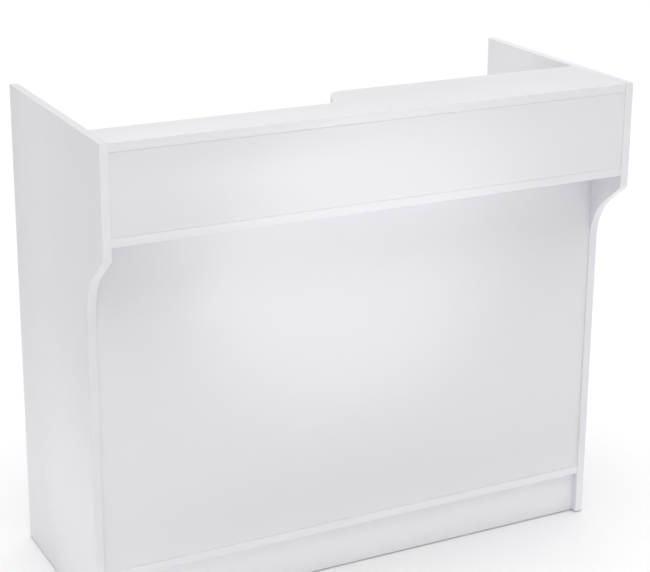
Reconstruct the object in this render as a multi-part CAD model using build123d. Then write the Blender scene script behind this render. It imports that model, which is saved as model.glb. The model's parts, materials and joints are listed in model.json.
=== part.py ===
from build123d import *
import os

# Ledge-top checkout counter, knock-down laminated board construction.
# Millimetres.  X runs along the customer side, +Y points to the clerk side, +Z is up.
# The origin is on the floor, in the middle of the counter's footprint.

# ---------------------------------------------------------------- driving dimensions
WIDTH = 1219.2
DEPTH = 558.8
HEIGHT = 1066.8
BOARD = 19.05                # every structural board
BAND = 1.0                   # edge banding
GLIDE = 2.0                  # floor glide thickness

OVERHANG = 102.0             # counter head stands this far in front of the base
COVE_TOP_Z = 832.0           # side panel profile: where the slope leaves the head
COVE_BOTTOM_Z = 751.5        # and where it meets the base
COVE_NOSE_R = 16.0
COVE_HOLLOW_R = 130.0

HEAD_SETBACK = 1.5           # boards of the head lie behind the side panels' edges
LEDGE_DROP = 1.0             # ledge lies below the side panels' top edges
LEDGE_SHALLOW = 114.3
LEDGE_DEEP = 207.0
STEP_FRONT_X = -62.0         # slanted step in the ledge's rear edge
STEP_REAR_X = -22.5
STEP_INNER_R = 6.0
STEP_OUTER_R = 38.0

WORKTOP_TOP = 878.8
DECK_TOP = 120.5
FRONT_PANEL_SETBACK = 105.0
DECK_SETBACK = 103.5
KICK_SETBACK = 117.0
REAR_KICK_SETBACK = 50.0
PARTITION_X = -10.5          # centre of the partition and of the ledge divider
DIVIDER_REAR = 186.0
REAR_SETBACK = 12.0          # partition and shelves lie in front of the rear edges

SHELF_ROW = {"left": 6, "right": 8}   # pin row that carries each bay's shelf, from the bottom
SHELF_GAP = 1.5
PIN_PITCH = 32.0
PIN_ROW_COUNT = 15
PIN_ROW_BOTTOM_Z = 225.0
PIN_HOLE_R = 2.6
PIN_HOLE_DEPTH = 9.0
PIN_ROW_FRONT = 175.0
PIN_ROW_REAR = 500.0
PIN_SHANK_R = 2.5
PIN_SHANK_LENGTH = 8.0
PIN_COLLAR_R = 4.0
PIN_COLLAR_T = 1.2
PIN_PADDLE_T = 1.8
PIN_PADDLE_TOP = 2.5
PIN_PADDLE_REACH = 12.0

DRAWER_RECESS = 28.0         # drawer face to the counter's rear plane
DRAWER_FACE_GAP = 2.5
DRAWER_FACE_H = 127.0
DRAWER_TOP_GAP = 3.0
DRAWER_SIDE_T = 12.0
DRAWER_SIDE_H = 100.0
DRAWER_BOTTOM_T = 6.0
DRAWER_BOTTOM_RISE = 10.0
DRAWER_GROOVE = 6.0
DRAWER_LENGTH = 350.0
DRAWER_EASE_R = 2.0
DRAWER_BOX_RISE = 12.0       # box above the face's lower edge
SIDE_CLEAR = 12.7            # slide space on each side of the drawer box

SLIDE_T = 1.2
SLIDE_FOOT_CLEAR = 3.8       # drawer member's foot over the lower track
SLIDE_ROOF_CLEAR = 0.7       # drawer roller to the track's roof
SLIDE_RUNNER_CLEAR = 1.6     # track's roof to the drawer member's runner
SLIDE_SCREW_RISE = 5.0
SLIDE_END_GAP = 2.0
SLIDE_ROOF_END_GAP = 4.0
SLIDE_SCREW_FRONT = 40.0
SLIDE_SCREW_REAR = 45.0
SLIDE_CABINET_FLANGE = 11.0
SLIDE_GAP = 0.4
ROLLER_R = 10.0
ROLLER_W = 7.6
ROLLER_GAP = 0.3
ROLLER_STANDOFF = 0.3
ROLLER_ROUND = 0.8
ROLLER_RECESS = 0.7
ROLLER_RIM = 1.8
ROLLER_HUB = 1.7
RIVET_PLAY = 0.6
RIVET_HEAD_OVER = 1.3
RIVET_HEAD_T = 0.8
SLIDE_SCREW_LENGTH = 14.0
DRAWER_SLIDE_SCREW_LENGTH = 9.0
ROLLER_PIN_R = 2.5
ROLLER_BORE_R = 2.55
CABINET_ROLLER_FROM_FACE = 17.0
DRAWER_ROLLER_FROM_END = 14.0

LOCK_DROP = 28.0             # lock axis below the drawer face's top edge
LOCK_BARREL_R = 9.4
LOCK_HOLE_CLEAR = 0.1
LOCK_PLUG_R = 6.0
LOCK_BORE_R = 6.05
LOCK_FLANGE_R = 12.0
LOCK_FLANGE_T = 2.0
LOCK_FLANGE_ROUND = 1.2
LOCK_TAIL = 8.0
LOCK_END_PLAY = 0.3
LOCK_FACE_SINK = 0.4         # plug's face below the flange's
LOCK_NUT_T = 3.0
LOCK_NUT_R = 12.2
LOCK_SQUARE = 6.0            # plug's square tail, and the hole in the cam
KEYWAY_W = 1.6
KEYWAY_BELOW = 3.6
KEYWAY_ABOVE = 3.0
KEYWAY_DEPTH = 14.0
CAM_SCREW_R = 1.5
CAM_SCREW_LENGTH = 6.0
CAM_SCREW_HOLE = 7.0
CAM_SCREW_HEAD_R = 4.4
CAM_SCREW_HEAD_H = 1.8
CAM_LENGTH = 27.0
CAM_WIDTH = 12.0
CAM_T = 2.0
STRIKE_DROP = 14.0
STRIKE_T = 1.6
STRIKE_W = 44.0
STRIKE_BACK = 3.6            # drawer face's inner side to the strike
STRIKE_LEAF = 20.0
STRIKE_SCREW_LENGTH = 12.0

PULL_CENTRES = 96.0
PULL_R = 4.0
PULL_REACH = 24.0
PULL_CORNER_R = 9.0
PULL_DROP = 12.0             # pull below the middle of the drawer face
PULL_HOLE_CLEAR = 0.3
PULL_SCREW_R = 2.0
PULL_THREAD = 10.0
PULL_SCREW_END_GAP = 1.0

GROMMET_X = -330.0
GROMMET_FROM_FRONT = 190.0
GROMMET_HOLE_R = 30.0
GROMMET_FLANGE_R = 35.0
GROMMET_FLANGE_T = 2.0
GROMMET_TUBE_R = 29.8
GROMMET_BORE_R = 28.2
GROMMET_CAP_R = 27.9
GROMMET_CAP_T = 3.0
GROMMET_LIP_R = 25.5
GROMMET_LENGTH = 17.0
CABLE_SLOT_W = 18.0
CABLE_SLOT_DEPTH = 20.0
GROMMET_ROUND = 1.2
GROMMET_CAP_ROUND = 0.6

CAM_LOCK_R = 7.5
CAM_LOCK_H = 12.5
CAM_POCKET_R = 7.6
CAM_POCKET_DEPTH = 13.2
CAM_SET = 34.0               # board end to cam axis
CAM_SINK = 0.4               # cam's top below the board's face
CAM_ENTRY_CLEAR = 0.4
CAM_DRIVER = 7.0
CAM_DRIVER_W = 1.4
CAM_DRIVER_DEPTH = 2.0
BOLT_R = 3.0
BOLT_BORE_R = 3.6
BOLT_HEAD_R = 3.4
BOLT_HEAD_LENGTH = 2.5
BOLT_HEAD_BACK = 3.0         # cam axis to the back of the bolt's head
BOLT_NECK_R = 1.8
BOLT_NECK_LENGTH = 6.0
BOLT_THREAD_R = 2.5
BOLT_ANCHOR = 10.0
COVER_R = 8.8
COVER_T = 1.0
COVER_ROUND = 0.7
DOWEL_R = 4.0
DOWEL_HALF = 12.0
DOWEL_END_GAP = 1.0

GLIDE_R = 8.0
GLIDE_ROUND = 0.6
SCREW_HEAD_R = 3.4
SCREW_HEAD_H = 2.0
SCREW_SHANK_R = 1.6
SCREW_HOLE_CLEAR = 0.2
SCREW_TIP = 2.0
SCREW_TIP_R = 0.3
DRIVER_CROSS = 4.0
DRIVER_CROSS_W = 0.9
DRIVER_CROSS_DEPTH = 1.0

# knock-down fittings and glides, from the counter's front plane or its rear plane
LEDGE_CAM_FRONT = 45.0
LEDGE_CAM_BACK = 30.0        # in front of the ledge's rear edge
WORKTOP_CAMS = (55.0, 300.0, 488.8)
WORKTOP_DOWELS = (95.0, 523.8)
DECK_CAMS = (160.0, 438.8)
DECK_DOWELS = (220.0, 398.8)
PARTITION_CAMS = (210.0, 458.8)
PARTITION_DOWELS = (160.0, 498.8)
DIVIDER_DOWELS = (60.0, 150.0)
SIDE_GLIDES = (120.0, 319.4, 528.8)
KICK_GLIDES = (-300.0, 0.0, 300.0)   # along the counter

# and above the floor
FASCIA_CAM_Z = 965.0
FASCIA_DOWELS_Z = (915.0, 1015.0)
FRONT_CAMS_Z = (220.0, 640.0)
FRONT_DOWELS_Z = (300.0, 560.0)
KICK_CAM_Z = 62.0
KICK_DOWEL_Z = 30.0

# ---------------------------------------------------------------- worked-out places
FRONT = -DEPTH / 2
REAR = DEPTH / 2
INNER_X = WIDTH / 2 - BOARD
LEDGE_TOP = HEIGHT - LEDGE_DROP
LEDGE_BOTTOM = LEDGE_TOP - BOARD
WORKTOP_BOTTOM = WORKTOP_TOP - BOARD
DECK_BOTTOM = DECK_TOP - BOARD
FRONT_PANEL_Y = FRONT + FRONT_PANEL_SETBACK
FRONT_PANEL_BACK = FRONT_PANEL_Y + BOARD
KICK_Y = FRONT + KICK_SETBACK
PARTITION = (PARTITION_X - BOARD / 2, PARTITION_X + BOARD / 2)
BAY_REAR = REAR - REAR_SETBACK
BAYS = {"left": (-INNER_X, PARTITION[0]), "right": (PARTITION[1], INNER_X)}

FACE_Y = REAR - DRAWER_RECESS                  # drawer face, clerk side
FACE_INNER_Y = FACE_Y - BOARD
FACE_X = (BAYS["left"][0] + DRAWER_FACE_GAP, BAYS["left"][1] - DRAWER_FACE_GAP)
FACE_TOP = WORKTOP_BOTTOM - DRAWER_TOP_GAP
FACE_BOTTOM = FACE_TOP - DRAWER_FACE_H
BOX_X = (BAYS["left"][0] + SIDE_CLEAR, BAYS["left"][1] - SIDE_CLEAR)
BOX_END_Y = FACE_INNER_Y - DRAWER_LENGTH
BOX_BOTTOM = FACE_BOTTOM + DRAWER_BOX_RISE
BOX_TOP = BOX_BOTTOM + DRAWER_SIDE_H
DRAWER_MID_X = (FACE_X[0] + FACE_X[1]) / 2
LOCK_Z = FACE_TOP - LOCK_DROP
PULL_Z = (FACE_TOP + FACE_BOTTOM) / 2 - PULL_DROP

# slide section heights, measured from the underside of the drawer sides
FLANGE_Z = BOX_BOTTOM - SLIDE_T                # drawer member's bottom flange
TRACK_FLOOR_Z = FLANGE_Z - SLIDE_FOOT_CLEAR    # top of the cabinet member's lower flange
DRAWER_ROLLER_Z = TRACK_FLOOR_Z + ROLLER_R + ROLLER_GAP
TRACK_ROOF_Z = DRAWER_ROLLER_Z + ROLLER_R + SLIDE_ROOF_CLEAR
RUNNER_Z = TRACK_ROOF_Z + SLIDE_T + SLIDE_RUNNER_CLEAR  # under the drawer member's top flange
CABINET_ROLLER_Z = RUNNER_Z - ROLLER_GAP - ROLLER_R
CABINET_ROLLER_Y = FACE_INNER_Y - CABINET_ROLLER_FROM_FACE
DRAWER_ROLLER_Y = BOX_END_Y + DRAWER_ROLLER_FROM_END
SLIDE_SCREW_Z = RUNNER_Z + SLIDE_T + SLIDE_SCREW_RISE
SLIDE_WEB_TOP = SLIDE_SCREW_Z + SLIDE_SCREW_RISE

# ---------------------------------------------------------------- shape helpers


def slab(x0, x1, y0, y1, z0, z1):
    """Box between two corners."""
    size = (x1 - x0, y1 - y0, z1 - z0)
    middle = ((x0 + x1) / 2, (y0 + y1) / 2, (z0 + z1) / 2)
    return Pos(*middle) * Box(*size)


def rod(start, direction, radius, length):
    """Cylinder from a point along a direction."""
    plane = Plane(origin=start, z_dir=direction)
    return plane * Cylinder(radius, length, align=(Align.CENTER, Align.CENTER, Align.MIN))


def along(point, direction, distance):
    """The point a distance further along a direction."""
    return tuple(p + d * distance for p, d in zip(point, direction))


def opposite(direction):
    return tuple(-d for d in direction)


def from_front(distances):
    """Y places at the given distances behind the counter's front plane."""
    return [FRONT + distance for distance in distances]


def cross_recess(seat, axis, length=DRIVER_CROSS, width=DRIVER_CROSS_W,
                 depth=DRIVER_CROSS_DEPTH, x_dir=None):
    """Driver cross sunk into a face at seat; the boxes reach as far outside it."""
    plane = Plane(origin=seat, z_dir=axis, x_dir=x_dir)
    return plane * (Box(length, width, 2 * depth) + Box(width, length, 2 * depth))


def mirrored(shape, x):
    """Copy of a shape mirrored across the plane at x."""
    return mirror(shape, about=Plane.YZ.offset(x))


def save(name, *solids):
    """Write one node as one STEP of separate solids."""
    pieces = []
    for shape in solids:
        pieces.extend(shape.solids())
    model = pieces[0] if len(pieces) == 1 else Compound(children=pieces)
    export_step(model, os.path.join("parts", name + ".step"))


# ---------------------------------------------------------------- side panels


def profile_face(inset):
    """Side panel outline in the Y-Z plane, drawn inside by the edge band's thickness."""
    run = OVERHANG
    drop = COVE_TOP_Z - COVE_BOTTOM_Z
    slope_length = (run**2 + drop**2) ** 0.5
    shift = inset * (slope_length - run) / drop
    head_corner_z = COVE_TOP_Z + shift
    base_corner_z = COVE_BOTTOM_Z + shift
    points = [
        (FRONT + inset, HEIGHT - inset),
        (FRONT + inset, head_corner_z),
        (FRONT + OVERHANG + inset, base_corner_z),
        (FRONT + OVERHANG + inset, GLIDE),
        (REAR - inset, GLIDE),
        (REAR - inset, HEIGHT - inset),
    ]
    outline = FilletPolyline(
        *points,
        radius=[0, COVE_NOSE_R - inset, COVE_HOLLOW_R + inset, 0, 0, 0],
        close=True,
    )
    return Plane.YZ * make_face(outline)


def panel_prism(inset, x0):
    """The outline carried through the board's thickness from x0."""
    return Pos(x0, 0, 0) * extrude(profile_face(inset), amount=BOARD, dir=(1, 0, 0))


def left_panel_bands():
    """Front, top and rear edge bands of the left side panel."""
    x0 = -WIDTH / 2
    ring = panel_prism(0, x0) - panel_prism(BAND, x0)
    below_top = HEIGHT - BAND
    middle = (FRONT + REAR) / 2
    front = ring & slab(x0, x0 + BOARD, FRONT, middle, GLIDE, below_top)
    rear = ring & slab(x0, x0 + BOARD, middle, REAR, GLIDE, below_top)
    top = slab(x0, x0 + BOARD, FRONT, REAR, below_top, HEIGHT)
    return [front, top, rear]


# ---------------------------------------------------------------- ledge


def ledge_face(front_y, rear_shift):
    """Ledge outline in plan; the rear edge steps back over a slant."""
    shallow_y = FRONT + LEDGE_SHALLOW - rear_shift
    deep_y = FRONT + LEDGE_DEEP - rear_shift
    run_y = LEDGE_DEEP - LEDGE_SHALLOW
    run_x = STEP_REAR_X - STEP_FRONT_X
    slant = (run_x**2 + run_y**2) ** 0.5
    shift_x = rear_shift * (slant - run_x) / run_y
    points = [
        (-INNER_X, front_y),
        (INNER_X, front_y),
        (INNER_X, deep_y),
        (STEP_REAR_X + shift_x, deep_y),
        (STEP_FRONT_X + shift_x, shallow_y),
        (-INNER_X, shallow_y),
    ]
    outline = FilletPolyline(
        *points,
        radius=[0, 0, 0, STEP_OUTER_R - rear_shift, STEP_INNER_R + rear_shift, 0],
        close=True,
    )
    return make_face(outline)


def ledge_prism(front_y, rear_shift):
    return Pos(0, 0, LEDGE_BOTTOM) * extrude(ledge_face(front_y, rear_shift), amount=BOARD)


def ledge_bands():
    """Front strip, and the rear strip that follows the slanted step."""
    front_y = FRONT + HEAD_SETBACK
    front = slab(-INNER_X, INNER_X, front_y, front_y + BAND, LEDGE_BOTTOM, LEDGE_TOP)
    rear = ledge_prism(front_y, 0) - ledge_prism(front_y, BAND)
    return [front, rear]


# ---------------------------------------------------------------- knock-down joints

# board, anchor board, end point, direction, cam face, face distance
JOINTS = []
# board, anchor board, end point, direction
DOWELS = []


def cam_joint(board, anchor, end, direction, face, face_distance):
    """A bolt anchored in one board and drawn up by a cam in the other."""
    JOINTS.append((board, anchor, end, direction, face, face_distance))


def dowel_joint(board, anchor, end, direction):
    DOWELS.append((board, anchor, end, direction))


def plan_joints():
    """Cams and dowels at the ends of every board that meets a side panel or the partition."""
    mid_ledge = LEDGE_BOTTOM + BOARD / 2
    mid_worktop = WORKTOP_BOTTOM + BOARD / 2
    mid_deck = DECK_BOTTOM + BOARD / 2
    mid_fascia = FRONT + HEAD_SETBACK + BOARD / 2
    mid_front = FRONT_PANEL_Y + BOARD / 2
    mid_kick = KICK_Y + BOARD / 2
    mid_rear_kick = REAR - REAR_KICK_SETBACK - BOARD / 2
    down = (0, 0, -1)
    back = (0, 1, 0)
    half = BOARD / 2
    for side, anchor in ((-1, "left_side_panel"), (1, "right_side_panel")):
        inward = (-side, 0, 0)
        x = side * INNER_X
        ledge_depth = LEDGE_SHALLOW if side < 0 else LEDGE_DEEP
        for y in from_front((LEDGE_CAM_FRONT, ledge_depth - LEDGE_CAM_BACK)):
            cam_joint("ledge_top", anchor, (x, y, mid_ledge), inward, down, half)
        for y in from_front(WORKTOP_CAMS):
            cam_joint("worktop", anchor, (x, y, mid_worktop), inward, down, half)
        for y in from_front(WORKTOP_DOWELS):
            dowel_joint("worktop", anchor, (x, y, mid_worktop), inward)
        for y in from_front(DECK_CAMS):
            cam_joint("bottom_deck", anchor, (x, y, mid_deck), inward, down, half)
        for y in from_front(DECK_DOWELS):
            dowel_joint("bottom_deck", anchor, (x, y, mid_deck), inward)
        cam_joint("fascia_panel", anchor, (x, mid_fascia, FASCIA_CAM_Z), inward, back, half)
        for z in FASCIA_DOWELS_Z:
            dowel_joint("fascia_panel", anchor, (x, mid_fascia, z), inward)
        for z in FRONT_CAMS_Z:
            cam_joint("front_panel", anchor, (x, mid_front, z), inward, back, half)
        for z in FRONT_DOWELS_Z:
            dowel_joint("front_panel", anchor, (x, mid_front, z), inward)
        for kick, y, face in (("kick_plate", mid_kick, back),
                              ("rear_kick_plate", mid_rear_kick, opposite(back))):
            cam_joint(kick, anchor, (x, y, KICK_CAM_Z), inward, face, half)
            dowel_joint(kick, anchor, (x, y, KICK_DOWEL_Z), inward)
    up = opposite(down)
    for y in from_front(PARTITION_CAMS):
        end = (PARTITION_X, y, WORKTOP_BOTTOM)
        cam_joint("partition", "worktop", end, down, (1, 0, 0), half)
        end = (PARTITION_X, y, DECK_TOP)
        cam_joint("partition", "bottom_deck", end, up, (1, 0, 0), half)
    for y in from_front(PARTITION_DOWELS):
        dowel_joint("partition", "worktop", (PARTITION_X, y, WORKTOP_BOTTOM), down)
        dowel_joint("partition", "bottom_deck", (PARTITION_X, y, DECK_TOP), up)
    for y in from_front(DIVIDER_DOWELS):
        dowel_joint("ledge_divider", "worktop", (PARTITION_X, y, WORKTOP_TOP), up)
        dowel_joint("ledge_divider", "ledge_top", (PARTITION_X, y, LEDGE_BOTTOM), down)


def bolt_bores(end, direction):
    """Bore in the board for the bolt, from its end to the cam."""
    return rod(end, direction, BOLT_BORE_R, CAM_SET)


def cam_pocket(end, direction, face, face_distance):
    centre = along(end, direction, CAM_SET)
    mouth = along(centre, face, face_distance)
    return rod(mouth, opposite(face), CAM_POCKET_R, CAM_POCKET_DEPTH)


def joint_cuts(board):
    """Everything the knock-down fittings take out of one board."""
    cuts = []
    for name, anchor, end, direction, face, distance in JOINTS:
        if name == board:
            cuts.append(bolt_bores(end, direction))
            cuts.append(cam_pocket(end, direction, face, distance))
        if anchor == board:
            cuts.append(rod(end, opposite(direction), BOLT_THREAD_R, BOLT_ANCHOR))
    for name, anchor, end, direction in DOWELS:
        if name == board:
            cuts.append(rod(end, direction, DOWEL_R, DOWEL_HALF + DOWEL_END_GAP))
        if anchor == board:
            cuts.append(rod(end, opposite(direction), DOWEL_R, DOWEL_HALF + DOWEL_END_GAP))
    return cuts


def fitted(board, shape):
    """The board with its fittings' holes."""
    cuts = joint_cuts(board)
    return shape - cuts if cuts else shape


def cam_bolt(end, direction):
    """Threaded anchor, shank, neck and head on one axis."""
    anchor = rod(along(end, direction, -BOLT_ANCHOR), direction, BOLT_THREAD_R, BOLT_ANCHOR)
    head_at = CAM_SET - BOLT_HEAD_BACK
    neck_at = head_at - BOLT_NECK_LENGTH
    shank = rod(end, direction, BOLT_R, neck_at)
    neck = rod(along(end, direction, neck_at), direction, BOLT_NECK_R, BOLT_NECK_LENGTH)
    head = rod(along(end, direction, head_at), direction, BOLT_HEAD_R, BOLT_HEAD_LENGTH)
    return anchor + shank + neck + head


def cam_lock(end, direction, face, face_distance):
    """Cast cam with the bolt's entry slot and a driver cross."""
    centre = along(end, direction, CAM_SET)
    top = along(centre, face, face_distance - CAM_SINK)
    body = rod(top, opposite(face), CAM_LOCK_R, CAM_LOCK_H)
    outside = along(centre, direction, -CAM_LOCK_R - 1.0)
    entry = rod(outside, direction, BOLT_HEAD_R + CAM_ENTRY_CLEAR,
                CAM_LOCK_R + 1.0 + BOLT_HEAD_BACK)
    driver = cross_recess(top, face, CAM_DRIVER, CAM_DRIVER_W, CAM_DRIVER_DEPTH, direction)
    return body - entry - driver


def cam_cover(end, direction, face, face_distance):
    """Press-in cap whose disc lies on the board's face."""
    centre = along(end, direction, CAM_SET)
    mouth = along(centre, face, face_distance)
    disc = rod(mouth, face, COVER_R, COVER_T)
    return fillet(disc.edges().filter_by(GeomType.CIRCLE).sort_by(
        lambda edge: -edge.center().dot(Vector(face)))[0], COVER_ROUND)


# ---------------------------------------------------------------- boards


def worktop():
    """Worktop with the grommet hole."""
    front_y = FRONT + HEAD_SETBACK + BAND
    board = slab(-INNER_X, INNER_X, front_y, REAR - BAND, WORKTOP_BOTTOM, WORKTOP_TOP)
    hole = rod((GROMMET_X, FRONT + GROMMET_FROM_FRONT, WORKTOP_BOTTOM), (0, 0, 1),
               GROMMET_HOLE_R, BOARD)
    return fitted("worktop", board - hole)


def edge_pair(front_y, rear_y, x0, x1, z0, z1):
    """A front and a rear straight edge band."""
    return [
        slab(x0, x1, front_y, front_y + BAND, z0, z1),
        slab(x0, x1, rear_y - BAND, rear_y, z0, z1),
    ]


def shelf_row_z(bay):
    """Height of the pin row that carries the bay's shelf."""
    return PIN_ROW_BOTTOM_Z + SHELF_ROW[bay] * PIN_PITCH


def shelf_pin(x, y, z, inward):
    """Shank in the wall, collar against it, and a flat paddle under the shelf."""
    shank = rod((x, y, z), (-inward, 0, 0), PIN_SHANK_R, PIN_SHANK_LENGTH)
    collar = rod((x, y, z), (inward, 0, 0), PIN_COLLAR_R, PIN_COLLAR_T)
    x0, x1 = sorted((x + inward * PIN_COLLAR_T, x + inward * PIN_PADDLE_REACH))
    paddle = slab(x0, x1, y - PIN_COLLAR_R, y + PIN_COLLAR_R,
                  z + PIN_PADDLE_TOP - PIN_PADDLE_T, z + PIN_PADDLE_TOP)
    return shank + collar + paddle


def shelf_pins():
    """Four pins for each shelf."""
    pins = []
    for bay, (x0, x1) in BAYS.items():
        for row in (PIN_ROW_FRONT, PIN_ROW_REAR):
            pins.append(shelf_pin(x0, FRONT + row, shelf_row_z(bay), 1))
            pins.append(shelf_pin(x1, FRONT + row, shelf_row_z(bay), -1))
    return pins


def shelf(bay):
    """Loose shelf on its pins, and its rear edge band."""
    x0, x1 = BAYS[bay]
    x0 += SHELF_GAP
    x1 -= SHELF_GAP
    bottom = shelf_row_z(bay) + PIN_PADDLE_TOP
    y0 = FRONT_PANEL_BACK + SHELF_GAP
    board = slab(x0, x1, y0, BAY_REAR - BAND, bottom, bottom + BOARD)
    band = slab(x0, x1, BAY_REAR - BAND, BAY_REAR, bottom, bottom + BOARD)
    return board, band


def partition():
    """Upright between the bays, drilled right through for both bays' shelf pins."""
    board = slab(*PARTITION, FRONT_PANEL_BACK, BAY_REAR - BAND, DECK_TOP, WORKTOP_BOTTOM)
    holes = []
    for row in (PIN_ROW_FRONT, PIN_ROW_REAR):
        for step in range(PIN_ROW_COUNT):
            start = (PARTITION[0], FRONT + row, PIN_ROW_BOTTOM_Z + step * PIN_PITCH)
            holes.append(rod(start, (1, 0, 0), PIN_HOLE_R, BOARD))
    return fitted("partition", board - holes)


def side_pin_holes(x, into):
    """Rows of shelf pin holes in a side panel's inner face."""
    holes = []
    for row in (PIN_ROW_FRONT, PIN_ROW_REAR):
        for step in range(PIN_ROW_COUNT):
            start = (x, FRONT + row, PIN_ROW_BOTTOM_Z + step * PIN_PITCH)
            holes.append(rod(start, into, PIN_HOLE_R, PIN_HOLE_DEPTH))
    return holes


# ---------------------------------------------------------------- drawer


def drawer_face():
    """Drawer front with the lock hole, the pull's screw holes and its edge bands."""
    x0, x1 = FACE_X
    board = slab(x0 + BAND, x1 - BAND, FACE_INNER_Y, FACE_Y, FACE_BOTTOM + BAND, FACE_TOP - BAND)
    holes = [rod((DRAWER_MID_X, FACE_INNER_Y, LOCK_Z), (0, 1, 0), LOCK_BARREL_R + LOCK_HOLE_CLEAR,
                 BOARD)]
    for x in pull_post_xs():
        holes.append(rod((x, FACE_INNER_Y, PULL_Z), (0, 1, 0), PULL_SCREW_R + PULL_HOLE_CLEAR,
                         BOARD))
    bands = [
        slab(x0, x1, FACE_INNER_Y, FACE_Y, FACE_TOP - BAND, FACE_TOP),
        slab(x0, x1, FACE_INNER_Y, FACE_Y, FACE_BOTTOM, FACE_BOTTOM + BAND),
        slab(x0, x0 + BAND, FACE_INNER_Y, FACE_Y, FACE_BOTTOM + BAND, FACE_TOP - BAND),
        slab(x1 - BAND, x1, FACE_INNER_Y, FACE_Y, FACE_BOTTOM + BAND, FACE_TOP - BAND),
    ]
    return board - holes, bands


def bottom_groove():
    """Space of the drawer bottom with the groove it runs in."""
    z0 = BOX_BOTTOM + DRAWER_BOTTOM_RISE
    x0 = BOX_X[0] + DRAWER_SIDE_T - DRAWER_GROOVE
    x1 = BOX_X[1] - DRAWER_SIDE_T + DRAWER_GROOVE
    return slab(x0, x1, BOX_END_Y, FACE_INNER_Y, z0, z0 + DRAWER_BOTTOM_T)


def drawer_side(side):
    """Grooved side board; its top edges are eased."""
    x0 = BOX_X[0] if side == "left" else BOX_X[1] - DRAWER_SIDE_T
    board = slab(x0, x0 + DRAWER_SIDE_T, BOX_END_Y, FACE_INNER_Y, BOX_BOTTOM, BOX_TOP)
    board = fillet(board.edges().filter_by(Axis.Y).group_by(Axis.Z)[-1], DRAWER_EASE_R)
    return board - bottom_groove()


def drawer_back():
    """Back board between the sides, over the bottom."""
    z0 = BOX_BOTTOM + DRAWER_BOTTOM_RISE + DRAWER_BOTTOM_T
    x0 = BOX_X[0] + DRAWER_SIDE_T
    x1 = BOX_X[1] - DRAWER_SIDE_T
    board = slab(x0, x1, BOX_END_Y, BOX_END_Y + DRAWER_SIDE_T, z0, BOX_TOP)
    return fillet(board.edges().filter_by(Axis.X).group_by(Axis.Z)[-1], DRAWER_EASE_R)


def pull_post_xs():
    return (DRAWER_MID_X - PULL_CENTRES / 2, DRAWER_MID_X + PULL_CENTRES / 2)


def wire_pull():
    """Round bar bent into a D, with two feet on the drawer face."""
    xa, xb = pull_post_xs()
    tip = FACE_Y + PULL_REACH - PULL_R
    path = FilletPolyline((xa, FACE_Y, PULL_Z), (xa, tip, PULL_Z), (xb, tip, PULL_Z),
                          (xb, FACE_Y, PULL_Z), radius=PULL_CORNER_R)
    section = Plane(origin=path @ 0, z_dir=path % 0) * Circle(PULL_R)
    bar = sweep(section, path=path)
    for x in (xa, xb):
        bar = bar - rod((x, FACE_Y, PULL_Z), (0, 1, 0), PULL_SCREW_R, PULL_THREAD)
    return bar


def pull_screws():
    """Pan-head screws from inside the drawer into the pull's feet."""
    screws = []
    for x in pull_post_xs():
        seat = (x, FACE_INNER_Y, PULL_Z)
        head = rod(seat, (0, -1, 0), SCREW_HEAD_R, SCREW_HEAD_H)
        shank = rod(seat, (0, 1, 0), PULL_SCREW_R, BOARD + PULL_THREAD - PULL_SCREW_END_GAP)
        cross = cross_recess(along(seat, (0, -1, 0), SCREW_HEAD_H), (0, -1, 0))
        screws.append(head + shank - cross)
    return screws


# ---------------------------------------------------------------- drawer slides
# One side is drawn against the left wall of the drawer's bay; the other is its mirror image.

WALL_X = BAYS["left"][0]


def cabinet_member():
    """Channel on the wall: the drawer's roller runs between its two flanges."""
    x0 = WALL_X
    x1 = WALL_X + SLIDE_CABINET_FLANGE
    y1 = FACE_INNER_Y - SLIDE_END_GAP
    roof_end = CABINET_ROLLER_Y - ROLLER_R - SLIDE_ROOF_END_GAP
    web = slab(x0, x0 + SLIDE_T, BOX_END_Y, y1, TRACK_FLOOR_Z - SLIDE_T, SLIDE_WEB_TOP)
    floor = slab(x0, x1, BOX_END_Y, y1, TRACK_FLOOR_Z - SLIDE_T, TRACK_FLOOR_Z)
    roof = slab(x0, x1, BOX_END_Y, roof_end, TRACK_ROOF_Z, TRACK_ROOF_Z + SLIDE_T)
    stop = slab(x0, x1, BOX_END_Y, BOX_END_Y + SLIDE_T, TRACK_FLOOR_Z, TRACK_ROOF_Z)
    pin = roller_pin((WALL_X + SLIDE_T, CABINET_ROLLER_Y, CABINET_ROLLER_Z), 1)
    body = web + floor + roof + stop + pin
    return body - [screw_hole((x0, y, SLIDE_SCREW_Z), (1, 0, 0), SLIDE_T)
                   for y in slide_screw_ys()]


def drawer_member():
    """Rail on the drawer: its top flange rides on the cabinet roller."""
    x1 = BOX_X[0]
    x0 = x1 - SLIDE_T
    web = slab(x0, x1, BOX_END_Y, FACE_INNER_Y, FLANGE_Z, RUNNER_Z + SLIDE_T)
    top = slab(WALL_X + SLIDE_T + SLIDE_GAP, x1, BOX_END_Y, FACE_INNER_Y, RUNNER_Z,
               RUNNER_Z + SLIDE_T)
    foot = slab(x0, x1 + DRAWER_SIDE_T, BOX_END_Y, FACE_INNER_Y, FLANGE_Z, BOX_BOTTOM)
    pin = roller_pin((x0, DRAWER_ROLLER_Y, DRAWER_ROLLER_Z), -1)
    body = web + top + foot + pin
    return body - [screw_hole((x1 + DRAWER_SIDE_T / 2, y, FLANGE_Z), (0, 0, 1), SLIDE_T)
                   for y in slide_screw_ys()]


def roller_pin(root, direction):
    """Rivet that carries a roller, with a head outside it."""
    axis = (direction, 0, 0)
    pin = rod(root, axis, ROLLER_PIN_R, ROLLER_W + RIVET_PLAY)
    head = rod(along(root, axis, ROLLER_W + RIVET_PLAY), axis, ROLLER_PIN_R + RIVET_HEAD_OVER,
               RIVET_HEAD_T)
    return pin + head


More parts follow.
